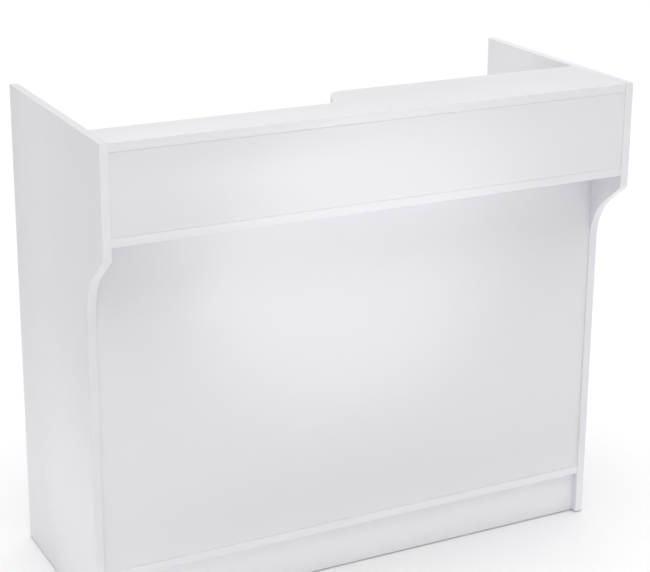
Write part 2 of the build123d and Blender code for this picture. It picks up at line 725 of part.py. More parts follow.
def roller(root, direction):
    """Nylon roller with a relieved face, turning on its rivet."""
    axis = (direction, 0, 0)
    wheel = rod(along(root, axis, ROLLER_STANDOFF), axis, ROLLER_R, ROLLER_W)
    wheel = fillet(wheel.edges().filter_by(GeomType.CIRCLE), ROLLER_ROUND)
    sunk = along(root, axis, ROLLER_W - ROLLER_RECESS)
    recess = (rod(sunk, axis, ROLLER_R - ROLLER_RIM, ROLLER_W)
              - rod(sunk, axis, ROLLER_PIN_R + ROLLER_HUB, ROLLER_W))
    return wheel - recess - rod(root, axis, ROLLER_BORE_R, 2 * ROLLER_W)


def cabinet_roller():
    return roller((WALL_X + SLIDE_T, CABINET_ROLLER_Y, CABINET_ROLLER_Z), 1)


def drawer_roller():
    return roller((BOX_X[0] - SLIDE_T, DRAWER_ROLLER_Y, DRAWER_ROLLER_Z), -1)


def slide_screw_ys():
    middle = (BOX_END_Y + FACE_INNER_Y) / 2
    return (BOX_END_Y + SLIDE_SCREW_FRONT, middle, FACE_INNER_Y - SLIDE_SCREW_REAR)


def screw_hole(seat, direction, depth):
    """Clearance hole for a wood screw's shank."""
    return rod(seat, direction, SCREW_SHANK_R + SCREW_HOLE_CLEAR, depth)


def wood_screw(seat, direction, length):
    """Pan-head wood screw from its seat into the board."""
    head = rod(seat, opposite(direction), SCREW_HEAD_R, SCREW_HEAD_H)
    shank = rod(seat, direction, SCREW_SHANK_R, length - SCREW_TIP)
    tip_start = along(seat, direction, length - SCREW_TIP)
    tip = Plane(origin=tip_start, z_dir=direction) * Cone(
        SCREW_SHANK_R, SCREW_TIP_R, SCREW_TIP, align=(Align.CENTER, Align.CENTER, Align.MIN))
    cross = cross_recess(along(seat, opposite(direction), SCREW_HEAD_H), direction)
    return head + shank + tip - cross


def cabinet_slide_screws():
    """Screws of the left cabinet member into the bay wall."""
    seats = [(WALL_X + SLIDE_T, y, SLIDE_SCREW_Z) for y in slide_screw_ys()]
    return [wood_screw(seat, (-1, 0, 0), SLIDE_SCREW_LENGTH) for seat in seats]


def drawer_slide_screws():
    """Screws of the left drawer member, up into the drawer side."""
    x = BOX_X[0] + DRAWER_SIDE_T / 2
    seats = [(x, y, FLANGE_Z) for y in slide_screw_ys()]
    return [wood_screw(seat, (0, 0, 1), DRAWER_SLIDE_SCREW_LENGTH) for seat in seats]


def screw_pilots(seats, direction, length):
    """Pilot holes that the screws' shanks fill."""
    return [rod(seat, direction, SCREW_SHANK_R, length) for seat in seats]


def both(shapes):
    """The left side's shapes and their mirror images across the drawer."""
    return shapes + [mirrored(shape, DRAWER_MID_X) for shape in shapes]


# ---------------------------------------------------------------- lock


def lock_body():
    """Threaded barrel with a round flange on the drawer face."""
    barrel = rod((DRAWER_MID_X, FACE_INNER_Y - LOCK_TAIL, LOCK_Z), (0, 1, 0), LOCK_BARREL_R,
                 BOARD + LOCK_TAIL)
    flange = rod((DRAWER_MID_X, FACE_Y, LOCK_Z), (0, 1, 0), LOCK_FLANGE_R, LOCK_FLANGE_T)
    flange = fillet(flange.edges().filter_by(GeomType.CIRCLE).group_by(Axis.Y)[-1],
                    LOCK_FLANGE_ROUND)
    bore = rod((DRAWER_MID_X, FACE_INNER_Y - LOCK_TAIL, LOCK_Z), (0, 1, 0), LOCK_BORE_R,
               BOARD + LOCK_TAIL + LOCK_FLANGE_T)
    return barrel + flange - bore


def lock_plug():
    """Turning plug with a keyway and a square tail for the cam."""
    y0 = lock_cam_y()
    face_y = FACE_Y + LOCK_FLANGE_T - LOCK_FACE_SINK
    plug = rod((DRAWER_MID_X, y0, LOCK_Z), (0, 1, 0), LOCK_PLUG_R, face_y - y0)
    half = KEYWAY_W / 2
    keyway = slab(DRAWER_MID_X - half, DRAWER_MID_X + half, face_y - KEYWAY_DEPTH, face_y,
                  LOCK_Z - KEYWAY_BELOW, LOCK_Z + KEYWAY_ABOVE)
    bore = rod((DRAWER_MID_X, y0 - CAM_T, LOCK_Z), (0, 1, 0), CAM_SCREW_R, CAM_SCREW_HOLE)
    return plug - keyway + lock_square() - bore


def lock_cam_y():
    """Clerk-side face of the cam plate."""
    return FACE_INNER_Y - LOCK_TAIL - LOCK_END_PLAY


def lock_square():
    """The plug's square tail, which fills the hole in the cam."""
    half = LOCK_SQUARE / 2
    return slab(DRAWER_MID_X - half, DRAWER_MID_X + half, lock_cam_y() - CAM_T, lock_cam_y(),
                LOCK_Z - half, LOCK_Z + half)


def lock_cam():
    """Flat cam with a rounded end, lying level: unlocked."""
    y1 = lock_cam_y()
    y0 = y1 - CAM_T
    half = CAM_WIDTH / 2
    straight = CAM_LENGTH - half
    bar = slab(DRAWER_MID_X, DRAWER_MID_X + straight, y0, y1, LOCK_Z - half, LOCK_Z + half)
    hub = rod((DRAWER_MID_X, y0, LOCK_Z), (0, 1, 0), half, CAM_T)
    nose = rod((DRAWER_MID_X + straight, y0, LOCK_Z), (0, 1, 0), half, CAM_T)
    return bar + hub + nose - lock_square()


def lock_cam_screw():
    """Screw that holds the cam on the plug's tail."""
    seat = (DRAWER_MID_X, lock_cam_y() - CAM_T, LOCK_Z)
    head = rod(seat, (0, -1, 0), CAM_SCREW_HEAD_R, CAM_SCREW_HEAD_H)
    cross = cross_recess(along(seat, (0, -1, 0), CAM_SCREW_HEAD_H), (0, -1, 0))
    return head + rod(seat, (0, 1, 0), CAM_SCREW_R, CAM_SCREW_LENGTH) - cross


def lock_nut():
    """Hexagonal ring nut behind the drawer face."""
    plane = Plane(origin=(DRAWER_MID_X, FACE_INNER_Y, LOCK_Z), z_dir=(0, -1, 0))
    nut = extrude(plane * RegularPolygon(LOCK_NUT_R, 6), amount=LOCK_NUT_T)
    return nut - rod((DRAWER_MID_X, FACE_INNER_Y - LOCK_NUT_T, LOCK_Z), (0, 1, 0),
                     LOCK_BARREL_R, LOCK_NUT_T)


def strike_seats():
    """Where the strike's screws sit, under the worktop."""
    y = FACE_INNER_Y - STRIKE_BACK - STRIKE_T - STRIKE_LEAF / 2
    return [(DRAWER_MID_X + x, y, WORKTOP_BOTTOM - STRIKE_T) for x in (-STRIKE_W / 3, STRIKE_W / 3)]


def lock_strike():
    """Steel angle under the worktop that the raised cam catches behind."""
    x0 = DRAWER_MID_X - STRIKE_W / 2
    x1 = DRAWER_MID_X + STRIKE_W / 2
    y1 = FACE_INNER_Y - STRIKE_BACK
    z1 = WORKTOP_BOTTOM
    hook = slab(x0, x1, y1 - STRIKE_T, y1, z1 - STRIKE_DROP, z1)
    leaf = slab(x0, x1, y1 - STRIKE_T - STRIKE_LEAF, y1 - STRIKE_T, z1 - STRIKE_T, z1)
    holes = [screw_hole(seat, (0, 0, 1), STRIKE_T) for seat in strike_seats()]
    return hook + leaf - holes


# ---------------------------------------------------------------- grommet

GROMMET = (GROMMET_X, FRONT + GROMMET_FROM_FRONT, WORKTOP_TOP)


def grommet_liner():
    """Flanged tube with an inner lip that the cap lies on."""
    tube = rod(along(GROMMET, (0, 0, -1), GROMMET_LENGTH), (0, 0, 1), GROMMET_TUBE_R,
               GROMMET_LENGTH)
    flange = rod(GROMMET, (0, 0, 1), GROMMET_FLANGE_R, GROMMET_FLANGE_T)
    flange = fillet(flange.edges().filter_by(GeomType.CIRCLE).group_by(Axis.Z)[-1],
                    GROMMET_ROUND)
    lip_top = GROMMET_FLANGE_T - GROMMET_CAP_T
    below = rod(along(GROMMET, (0, 0, -1), GROMMET_LENGTH), (0, 0, 1), GROMMET_LIP_R,
                GROMMET_LENGTH + lip_top)
    above = rod(along(GROMMET, (0, 0, 1), lip_top), (0, 0, 1), GROMMET_BORE_R, GROMMET_CAP_T)
    return tube + flange - below - above


def grommet_cap():
    """Turning cap with a cable slot open to its rim."""
    start = along(GROMMET, (0, 0, 1), GROMMET_FLANGE_T - GROMMET_CAP_T)
    cap = rod(start, (0, 0, 1), GROMMET_CAP_R, GROMMET_CAP_T)
    cap = fillet(cap.edges().filter_by(GeomType.CIRCLE).group_by(Axis.Z)[-1],
                 GROMMET_CAP_ROUND)
    x, y, z = GROMMET
    half = CABLE_SLOT_W / 2
    inner = GROMMET_CAP_R - CABLE_SLOT_DEPTH
    low = z - GROMMET_CAP_T
    high = z + GROMMET_CAP_T
    slot = slab(x - half, x + half, y + inner + half, y + GROMMET_FLANGE_R, low, high)
    end = rod((x, y + inner + half, low), (0, 0, 1), half, high - low)
    return cap - slot - end


# ---------------------------------------------------------------- floor glides


def floor_glides():
    """Nail-on glides under the side panels and the kick plates."""
    side_x = WIDTH / 2 - BOARD / 2
    spots = [(side * side_x, y) for side in (-1, 1) for y in from_front(SIDE_GLIDES)]
    for y in (KICK_Y + BOARD / 2, REAR - REAR_KICK_SETBACK - BOARD / 2):
        spots += [(x, y) for x in KICK_GLIDES]
    glides = []
    for x, y in spots:
        disc = rod((x, y, 0), (0, 0, 1), GLIDE_R, GLIDE)
        glides.append(fillet(disc.edges().filter_by(GeomType.CIRCLE).group_by(Axis.Z)[0],
                             GLIDE_ROUND))
    return glides


# ---------------------------------------------------------------- the counter


def side_cuts(side):
    """Everything bored into one side panel."""
    name = side + "_side_panel"
    sign = -1 if side == "left" else 1
    cuts = joint_cuts(name) + side_pin_holes(sign * INNER_X, (sign, 0, 0))
    if side == "left":
        seats = [(WALL_X, y, SLIDE_SCREW_Z) for y in slide_screw_ys()]
        cuts += screw_pilots(seats, (-1, 0, 0), SLIDE_SCREW_LENGTH)
    return cuts


def save_side_panels():
    blank = panel_prism(BAND, -WIDTH / 2)
    save("left_side_panel", blank - side_cuts("left"))
    save("right_side_panel", mirrored(blank, 0) - side_cuts("right"))
    bands = left_panel_bands()
    save("left_panel_edge_bands", *bands)
    save("right_panel_edge_bands", *[mirrored(band, 0) for band in bands])


def save_head():
    """Ledge, fascia, divider and worktop."""
    front_y = FRONT + HEAD_SETBACK
    save("ledge_top", fitted("ledge_top", ledge_prism(front_y + BAND, BAND)))
    save("ledge_edge_bands", *ledge_bands())
    fascia = slab(-INNER_X, INNER_X, front_y, front_y + BOARD, WORKTOP_TOP, LEDGE_BOTTOM)
    save("fascia_panel", fitted("fascia_panel", fascia))
    divider_rear = FRONT + DIVIDER_REAR
    divider = slab(*PARTITION, front_y + BOARD, divider_rear - BAND, WORKTOP_TOP, LEDGE_BOTTOM)
    save("ledge_divider", fitted("ledge_divider", divider))
    save("divider_edge_band",
         slab(*PARTITION, divider_rear - BAND, divider_rear, WORKTOP_TOP, LEDGE_BOTTOM))
    strike_pilots = screw_pilots(
        [(x, y, WORKTOP_BOTTOM) for x, y, _ in strike_seats()], (0, 0, 1), STRIKE_SCREW_LENGTH)
    save("worktop", worktop() - strike_pilots)
    save("worktop_edge_bands",
         *edge_pair(front_y, REAR, -INNER_X, INNER_X, WORKTOP_BOTTOM, WORKTOP_TOP))


def save_base():
    """Front panel, deck, kicks, partition and shelves."""
    front_panel = slab(-INNER_X, INNER_X, FRONT_PANEL_Y, FRONT_PANEL_BACK, DECK_TOP,
                       WORKTOP_BOTTOM)
    save("front_panel", fitted("front_panel", front_panel))
    deck_y = FRONT + DECK_SETBACK
    deck = slab(-INNER_X, INNER_X, deck_y + BAND, REAR - BAND, DECK_BOTTOM, DECK_TOP)
    save("bottom_deck", fitted("bottom_deck", deck))
    save("deck_edge_bands", *edge_pair(deck_y, REAR, -INNER_X, INNER_X, DECK_BOTTOM, DECK_TOP))
    kick = slab(-INNER_X, INNER_X, KICK_Y, KICK_Y + BOARD, GLIDE, DECK_BOTTOM)
    save("kick_plate", fitted("kick_plate", kick))
    rear_y = REAR - REAR_KICK_SETBACK
    rear_kick = slab(-INNER_X, INNER_X, rear_y - BOARD, rear_y, GLIDE, DECK_BOTTOM)
    save("rear_kick_plate", fitted("rear_kick_plate", rear_kick))
    seats = [(2 * DRAWER_MID_X - WALL_X, y, SLIDE_SCREW_Z) for y in slide_screw_ys()]
    save("partition", partition() - screw_pilots(seats, (1, 0, 0), SLIDE_SCREW_LENGTH))
    save("partition_edge_band",
         slab(*PARTITION, BAY_REAR - BAND, BAY_REAR, DECK_TOP, WORKTOP_BOTTOM))
    for bay in BAYS:
        board, band = shelf(bay)
        save(bay + "_shelf", board)
        save(bay + "_shelf_edge_band", band)
    save("shelf_pins", *shelf_pins())


def save_drawer():
    """Drawer box, face, pull and the drawer's half of the slides."""
    face, bands = drawer_face()
    save("drawer_face", face)
    save("drawer_face_edge_bands", *bands)
    pilots = screw_pilots(
        [(BOX_X[0] + DRAWER_SIDE_T / 2, y, BOX_BOTTOM) for y in slide_screw_ys()],
        (0, 0, 1), DRAWER_SLIDE_SCREW_LENGTH - SLIDE_T)
    left = drawer_side("left") - pilots
    save("drawer_left_side", left)
    save("drawer_right_side", mirrored(left, DRAWER_MID_X))
    save("drawer_back", drawer_back())
    save("drawer_bottom", bottom_groove())
    save("drawer_pull", wire_pull())
    save("pull_screws", *pull_screws())


def save_slides():
    """Both pairs of slide members, the four rollers and the slides' screws."""
    for name, shape in (
        ("cabinet_slide", cabinet_member()),
        ("drawer_slide", drawer_member()),
        ("cabinet_roller", cabinet_roller()),
        ("drawer_roller", drawer_roller()),
    ):
        save(name + "_left", shape)
        save(name + "_right", mirrored(shape, DRAWER_MID_X))
    save("cabinet_slide_screws", *both(cabinet_slide_screws()))
    save("drawer_slide_screws", *both(drawer_slide_screws()))


def save_lock():
    save("lock_body", lock_body())
    save("lock_plug", lock_plug())
    save("lock_cam", lock_cam())
    save("lock_cam_screw", lock_cam_screw())
    save("lock_nut", lock_nut())
    save("lock_strike", lock_strike())
    save("strike_screws", *[wood_screw(seat, (0, 0, 1), STRIKE_SCREW_LENGTH)
                            for seat in strike_seats()])


def save_fittings():
    """Grommet, knock-down fittings and glides."""
    save("grommet_liner", grommet_liner())
    save("grommet_cap", grommet_cap())
    save("cam_bolts", *[cam_bolt(end, direction) for _, _, end, direction, _, _ in JOINTS])
    save("cam_locks", *[cam_lock(end, direction, face, distance)
                        for _, _, end, direction, face, distance in JOINTS])
    save("cam_covers", *[cam_cover(end, direction, face, distance)
                         for _, _, end, direction, face, distance in JOINTS])
    save("wood_dowels", *[rod(along(end, direction, -DOWEL_HALF), direction, DOWEL_R,
                              2 * DOWEL_HALF) for _, _, end, direction in DOWELS])
    save("floor_glides", *floor_glides())


os.makedirs("parts", exist_ok=True)
plan_joints()
save_side_panels()
save_head()
save_base()
save_drawer()
save_slides()
save_lock()
save_fittings()
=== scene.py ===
"""Ledge-top checkout counter: meshes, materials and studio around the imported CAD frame."""
import json
import math

import bmesh
import bpy
from mathutils import Matrix, Vector

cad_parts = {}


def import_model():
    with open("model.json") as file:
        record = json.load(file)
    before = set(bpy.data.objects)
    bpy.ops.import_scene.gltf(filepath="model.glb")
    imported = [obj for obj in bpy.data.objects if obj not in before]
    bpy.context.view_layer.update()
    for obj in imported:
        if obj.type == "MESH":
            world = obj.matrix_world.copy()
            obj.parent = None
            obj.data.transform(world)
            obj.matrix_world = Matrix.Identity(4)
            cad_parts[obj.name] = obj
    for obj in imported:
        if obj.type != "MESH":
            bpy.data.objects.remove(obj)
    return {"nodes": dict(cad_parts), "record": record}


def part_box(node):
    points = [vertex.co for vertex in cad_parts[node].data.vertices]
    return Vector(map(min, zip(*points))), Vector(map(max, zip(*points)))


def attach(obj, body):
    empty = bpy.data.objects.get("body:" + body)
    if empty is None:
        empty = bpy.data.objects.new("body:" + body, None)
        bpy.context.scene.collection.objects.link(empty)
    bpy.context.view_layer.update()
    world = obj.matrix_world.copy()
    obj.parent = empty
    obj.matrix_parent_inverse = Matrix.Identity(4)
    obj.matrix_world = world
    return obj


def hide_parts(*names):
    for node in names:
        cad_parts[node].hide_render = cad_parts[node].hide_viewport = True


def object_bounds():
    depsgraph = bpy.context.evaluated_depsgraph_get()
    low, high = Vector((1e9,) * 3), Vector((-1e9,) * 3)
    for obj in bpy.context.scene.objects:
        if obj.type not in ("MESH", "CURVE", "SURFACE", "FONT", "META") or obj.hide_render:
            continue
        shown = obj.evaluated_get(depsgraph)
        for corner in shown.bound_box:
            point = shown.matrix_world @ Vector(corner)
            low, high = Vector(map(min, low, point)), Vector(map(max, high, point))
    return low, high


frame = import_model()
cad_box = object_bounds()

MM = 0.001
LOW, HIGH = cad_box

# ---------------------------------------------------------------- camera and light, in metres
CAMERA_PLACE = (-1.646, -3.2354, 1.881)
CAMERA_YAW = 27.04           # degrees from +Y towards +X
CAMERA_PITCH = 16.87         # degrees below the horizon
CAMERA_ROLL = -0.41
LENS_MM = 95.73
SENSOR_MM = 36.0
SHIFT_Y = -0.115
CLIP_END = 100.0

WORLD_STRENGTH = 0.48
SKY_ENERGY = 1.72            # two very soft suns from above
SKY_TILTED_ENERGY = 0.46
FRONT_ENERGY = 9.8           # low, wide panel facing the front
KICK_ENERGY = 0.08           # narrow-beamed strip at the recessed kick board
LOW_LEFT_ENERGY = 0.42       # the same at the foot of the left panel
INNER_ENERGY = 13.0          # over the worktop, facing the right panel's inner side
POOL_ENERGY = 27.0           # round pool of light on the front
POOL_WIDE_ENERGY = 3.0
FLOOR_RADIUS = 30.0
FLOOR_CORNERS = 96

# ---------------------------------------------------------------- edge details
BAND_T = 1.0 * MM            # edge banding thickness
BAND_ROUND = 0.8 * MM        # trimmed outer corners of the banding
BAND_SHY = 0.12 * MM         # banding lies a hair inside the board's faces
BOARD_EASE = 0.4 * MM
FASCIA_EASE = 0.2 * MM       # its joint under the ledge shows only faintly
CORE_DEPTH = 2 * BOARD_EASE  # deeper than this below both faces, a board shows its core
SHORTEST_EASED = 8.0 * MM    # hole rims are made of shorter edges and stay sharp
EASE_STEPS = 2
ROUND_STEPS = 4
ARC_STEP = math.radians(2.0)
SHARP_ANGLE = math.radians(50.0)
SMOOTH_ANGLE = math.radians(30.0)
FLAT_ANGLE = math.radians(0.2)
WELD_GAP = 0.002 * MM
LONGEST_MITRE = 5.0          # in band thicknesses

# side panel profile, as in the CAD
OVERHANG = 102.0 * MM
COVE_TOP_Z = 832.0 * MM
COVE_BOTTOM_Z = 751.5 * MM
COVE_NOSE_R = 16.0 * MM
COVE_HOLLOW_R = 130.0 * MM

# the ledge's slanted rear step, as in the CAD
LEDGE_SHALLOW = 114.3 * MM
STEP_FRONT_X = -62.0 * MM
STEP_REAR_X = -22.5 * MM
STEP_INNER_R = 6.0 * MM
STEP_OUTER_R = 38.0 * MM

NOISE_SPAN = (0.3, 0.7)      # most of a noise texture's values lie between these

# ---------------------------------------------------------------- node helpers


def new_material(name):
    material = bpy.data.materials.new(name)
    material.use_nodes = True
    return material, material.node_tree, material.node_tree.nodes["Principled BSDF"]


def add_node(tree, kind, **settings):
    node = tree.nodes.new(kind)
    for key, value in settings.items():
        setattr(node, key, value)
    return node


def object_coords(tree, scale=(1.0, 1.0, 1.0)):
    """The shared frame's coordinates in metres, stretched by scale."""
    coords = add_node(tree, "ShaderNodeTexCoord")
    mapping = add_node(tree, "ShaderNodeMapping")
    mapping.inputs["Scale"].default_value = scale
    tree.links.new(coords.outputs["Object"], mapping.inputs["Vector"])
    return mapping.outputs["Vector"]


def noise(tree, vector, scale, detail=2.0, roughness=0.5):
    node = add_node(tree, "ShaderNodeTexNoise")
    node.inputs["Scale"].default_value = scale
    node.inputs["Detail"].default_value = detail
    node.inputs["Roughness"].default_value = roughness
    tree.links.new(vector, node.inputs["Vector"])
    return node.outputs["Fac"]


def voronoi(tree, vector, scale, output="Distance"):
    node = add_node(tree, "ShaderNodeTexVoronoi")
    node.inputs["Scale"].default_value = scale
    tree.links.new(vector, node.inputs["Vector"])
    return node.outputs[output]


def remap(tree, value, low=0.0, high=1.0):
    """Stretch a noise texture's usual span to low..high."""
    node = add_node(tree, "ShaderNodeMapRange")
    node.inputs["From Min"].default_value, node.inputs["From Max"].default_value = NOISE_SPAN
    node.inputs["To Min"].default_value = low
    node.inputs["To Max"].default_value = high
    tree.links.new(value, node.inputs["Value"])
    return node.outputs["Result"]


def added(tree, first, second):
    node = add_node(tree, "ShaderNodeMath", operation="ADD")
    tree.links.new(first, node.inputs[0])
    tree.links.new(second, node.inputs[1])
    return node.outputs[0]


def blend_colours(tree, factor, first, second):
    """Colour mix; first and second are RGB triples."""
    node = add_node(tree, "ShaderNodeMix", data_type="RGBA")
    tree.links.new(factor, node.inputs["Factor"])
    node.inputs["A"].default_value = (*first, 1.0)
    node.inputs["B"].default_value = (*second, 1.0)
    return node.outputs["Result"]


def roughen(tree, shader, factor, low, high):
    tree.links.new(remap(tree, factor, low, high), shader.inputs["Roughness"])


def bump(tree, shader, height, strength, distance):
    node = add_node(tree, "ShaderNodeBump")
    node.inputs["Strength"].default_value = strength
    node.inputs["Distance"].default_value = distance
    tree.links.new(height, node.inputs["Height"])
    tree.links.new(node.outputs["Normal"], shader.inputs["Normal"])


def paint(tree, shader, factor, colour, spread):
    """Base colour that goes from a darker to a lighter shade of one colour."""
    dark = tuple(c * (1.0 - spread) for c in colour)
    light = tuple(min(1.0, c * (1.0 + spread)) for c in colour)
    tree.links.new(blend_colours(tree, remap(tree, factor), dark, light),
                   shader.inputs["Base Color"])


# ---------------------------------------------------------------- materials


def laminate(name, colour, rough_low, rough_high):
    """Melamine face: fine pebbled press texture and a barely uneven tone."""
    material, tree, shader = new_material(name)
    vector = object_coords(tree)
    paint(tree, shader, noise(tree, vector, scale=2.5, detail=3.0), colour, spread=0.008)
    cloud = noise(tree, vector, scale=14.0, detail=4.0, roughness=0.6)
    roughen(tree, shader, cloud, rough_low, rough_high)
    pebble = added(tree, voronoi(tree, vector, scale=900.0), noise(tree, vector, scale=2200.0))
    bump(tree, shader, pebble, strength=0.12, distance=0.05 * MM)
    shader.inputs["IOR"].default_value = 1.48
    return material


def edge_band(name, colour):
    """Plastic banding: smoother than the face, with a faint fine texture."""
    material, tree, shader = new_material(name)
    vector = object_coords(tree)
    paint(tree, shader, noise(tree, vector, scale=6.0), colour, spread=0.01)
    drawn = noise(tree, vector, scale=700.0)
    roughen(tree, shader, drawn, low=0.26, high=0.36)
    bump(tree, shader, drawn, strength=0.08, distance=0.03 * MM)
    shader.inputs["IOR"].default_value = 1.49
    return material


def chip_core(name):
    """Raw particle board, where a board is drilled or left without banding."""
    material, tree, shader = new_material(name)
    vector = object_coords(tree, scale=(1.0, 1.0, 2.2))
    chips = voronoi(tree, vector, scale=520.0, output="Color")
    grey = add_node(tree, "ShaderNodeRGBToBW")
    tree.links.new(chips, grey.inputs["Color"])
    ramp = add_node(tree, "ShaderNodeValToRGB")
    ramp.color_ramp.elements[0].color = (0.26, 0.16, 0.08, 1.0)
    ramp.color_ramp.elements[1].color = (0.62, 0.47, 0.29, 1.0)
    tree.links.new(grey.outputs["Val"], ramp.inputs["Fac"])
    tree.links.new(ramp.outputs["Color"], shader.inputs["Base Color"])
    shader.inputs["Roughness"].default_value = 0.85
    bump(tree, shader, voronoi(tree, vector, scale=520.0), strength=0.5, distance=0.3 * MM)
    return material


def wrapped_board(name, colour):
    """Vinyl-wrapped drawer board with a faint printed grain along Y."""
    material, tree, shader = new_material(name)
    vector = object_coords(tree, scale=(60.0, 3.0, 60.0))
    grain = noise(tree, vector, scale=4.0, detail=4.0, roughness=0.6)
    paint(tree, shader, grain, colour, spread=0.02)
    roughen(tree, shader, grain, low=0.38, high=0.5)
    bump(tree, shader, grain, strength=0.15, distance=0.05 * MM)
    return material


def powder_steel(name, colour):
    """Epoxy-coated steel with a slight orange peel."""
    material, tree, shader = new_material(name)
    vector = object_coords(tree)
    peel = noise(tree, vector, scale=450.0)
    paint(tree, shader, peel, colour, spread=0.01)
    roughen(tree, shader, noise(tree, vector, scale=60.0), low=0.24, high=0.34)
    bump(tree, shader, peel, strength=0.2, distance=0.1 * MM)
    return material


def plated_metal(name, colour, rough_low, rough_high, grain_scale):
    """Metal whose plating varies a little in sheen."""
    material, tree, shader = new_material(name)
    grain = noise(tree, object_coords(tree), grain_scale, detail=3.0, roughness=0.6)
    paint(tree, shader, grain, colour, spread=0.05)
    roughen(tree, shader, grain, rough_low, rough_high)
    shader.inputs["Metallic"].default_value = 1.0
    bump(tree, shader, grain, strength=0.05, distance=0.02 * MM)
    return material


def moulded_plastic(name, colour, rough_low, rough_high):
    """Moulded plastic with a fine spark-eroded texture."""
    material, tree, shader = new_material(name)
    vector = object_coords(tree)
    grain = noise(tree, vector, scale=2600.0)
    paint(tree, shader, noise(tree, vector, scale=80.0), colour, spread=0.01)
    roughen(tree, shader, grain, rough_low, rough_high)
    bump(tree, shader, grain, strength=0.15, distance=0.03 * MM)
    return material


def dowel_wood(name):
    """Beech with short flecks along the grain."""
    material, tree, shader = new_material(name)
    vector = object_coords(tree, scale=(0.15, 1.0, 1.0))
    grain = noise(tree, vector, scale=900.0, detail=4.0, roughness=0.6)
    tree.links.new(blend_colours(tree, remap(tree, grain), (0.50, 0.31, 0.17),
                                 (0.72, 0.52, 0.33)), shader.inputs["Base Color"])
    shader.inputs["Roughness"].default_value = 0.7
    bump(tree, shader, grain, strength=0.2, distance=0.1 * MM)
    return material


WHITE = (0.758, 0.756, 0.786)
MATERIALS = {
    "white_laminate": laminate("white_laminate", WHITE, 0.34, 0.42),
    "white_edge_band": edge_band("white_edge_band", WHITE),
    "drawer_box_wrap": wrapped_board("drawer_box_wrap", (0.70, 0.70, 0.69)),
    "white_powder_steel": powder_steel("white_powder_steel", (0.72, 0.72, 0.71)),
    "nylon": moulded_plastic("nylon", (0.74, 0.73, 0.69), 0.38, 0.5),
    "zinc_plated_steel": plated_metal("zinc_plated_steel", (0.60, 0.62, 0.66), 0.26, 0.4, 500.0),
    "bright_chrome": plated_metal("bright_chrome", (0.82, 0.83, 0.85), 0.06, 0.12, 1500.0),
    "white_plastic": moulded_plastic("white_plastic", (0.73, 0.73, 0.74), 0.34, 0.46),
    "beech_dowel": dowel_wood("beech_dowel"),
}
CORE = chip_core("particle_board_core")
SLOT_OF = {row["node"]: row["material_slot"] for row in frame["record"]["subparts"]}
BODY_OF = {
    node: body
    for body, nodes in frame["record"]["behaviour"]["bodies"].items()
    for node in nodes
}

# ---------------------------------------------------------------- mesh helpers


def make_piece(name, bm, materials, node):
    """Turn a bmesh into a piece that stands for a CAD node and rides on its body."""
    bmesh.ops.recalc_face_normals(bm, faces=bm.faces)
    for face in bm.faces:
        face.smooth = True
    for edge in bm.edges:
        if len(edge.link_faces) == 2:
            edge.smooth = edge.calc_face_angle(0.0) < SMOOTH_ANGLE
    mesh = bpy.data.meshes.new(name)
    bm.to_mesh(mesh)
    bm.free()
    for material in materials:
        mesh.materials.append(material)
    piece = bpy.data.objects.new(name, mesh)
    bpy.context.scene.collection.objects.link(piece)
    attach(piece, BODY_OF[node])
    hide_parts(node)


def make_bands(name, bm, node):
    make_piece(name, bm, [MATERIALS["white_edge_band"]], node)


def node_bmesh(node):
    """A welded copy of a CAD node's mesh, with its flat faces made whole."""
    bm = bmesh.new()
    bm.from_mesh(frame["nodes"][node].data)
    bmesh.ops.remove_doubles(bm, verts=bm.verts, dist=WELD_GAP)
    bmesh.ops.dissolve_limit(bm, angle_limit=FLAT_ANGLE, verts=bm.verts, edges=bm.edges)
    return bm


def ease_long_edges(bm, width):
    """Round over the long sharp edges."""
    sharp = [
        edge
        for edge in bm.edges
        if len(edge.link_faces) == 2
        and edge.calc_face_angle(0.0) > SHARP_ANGLE
        and edge.calc_length() > SHORTEST_EASED
    ]
    bmesh.ops.bevel(bm, geom=sharp, offset=width, segments=EASE_STEPS, profile=0.5,
                    affect="EDGES", clamp_overlap=True)


def board(node, ease):
    """A laminated board: eased arrises, laminate on both faces, raw core on edges and in holes."""
    low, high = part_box(node)
    size = high - low
    thin = min(range(3), key=lambda axis: size[axis])
    bm = node_bmesh(node)
    ease_long_edges(bm, ease)
    for face in bm.faces:
        centre = face.calc_center_median()
        depth = min(centre[thin] - low[thin], high[thin] - centre[thin])
        face.material_index = 1 if depth > CORE_DEPTH else 0
    make_piece(node + "_board", bm, [MATERIALS[SLOT_OF[node]], CORE], node)


def fillet_path(points, radii):
    """Polyline through 2-D points with tangent arcs of the given radii at its corners."""
    path = [Vector(points[0])]
    for before, corner, after, radius in zip(points, points[1:], points[2:], radii):
        corner = Vector(corner)
        back = (Vector(before) - corner).normalized()
        ahead = (Vector(after) - corner).normalized()
        turn = math.pi - back.angle(ahead)
        reach = radius * math.tan(turn / 2)
        centre = corner + (back + ahead).normalized() * (radius / math.cos(turn / 2))
        start = corner + back * reach - centre
        sign = 1.0 if back.cross(ahead) < 0 else -1.0
        steps = max(2, round(turn / ARC_STEP))
        for i in range(steps + 1):
            angle = sign * turn * i / steps
            c, s = math.cos(angle), math.sin(angle)
            path.append(centre + Vector((start.x * c - start.y * s, start.x * s + start.y * c)))
    path.append(Vector(points[-1]))
    return path


def band_section(width, thickness, round_r):
    """Closed section of a band: across its width, and inwards from its outer face."""
    section = [(0.0, -thickness)]
    for i in range(ROUND_STEPS + 1):
        a = math.pi / 2 * i / ROUND_STEPS
        section.append((round_r - round_r * math.cos(a), round_r * math.sin(a) - round_r))
    for i in range(ROUND_STEPS + 1):
        a = math.pi / 2 * i / ROUND_STEPS
        section.append((width - round_r + round_r * math.sin(a), round_r * math.cos(a) - round_r))
    section.append((width, -thickness))
    return section


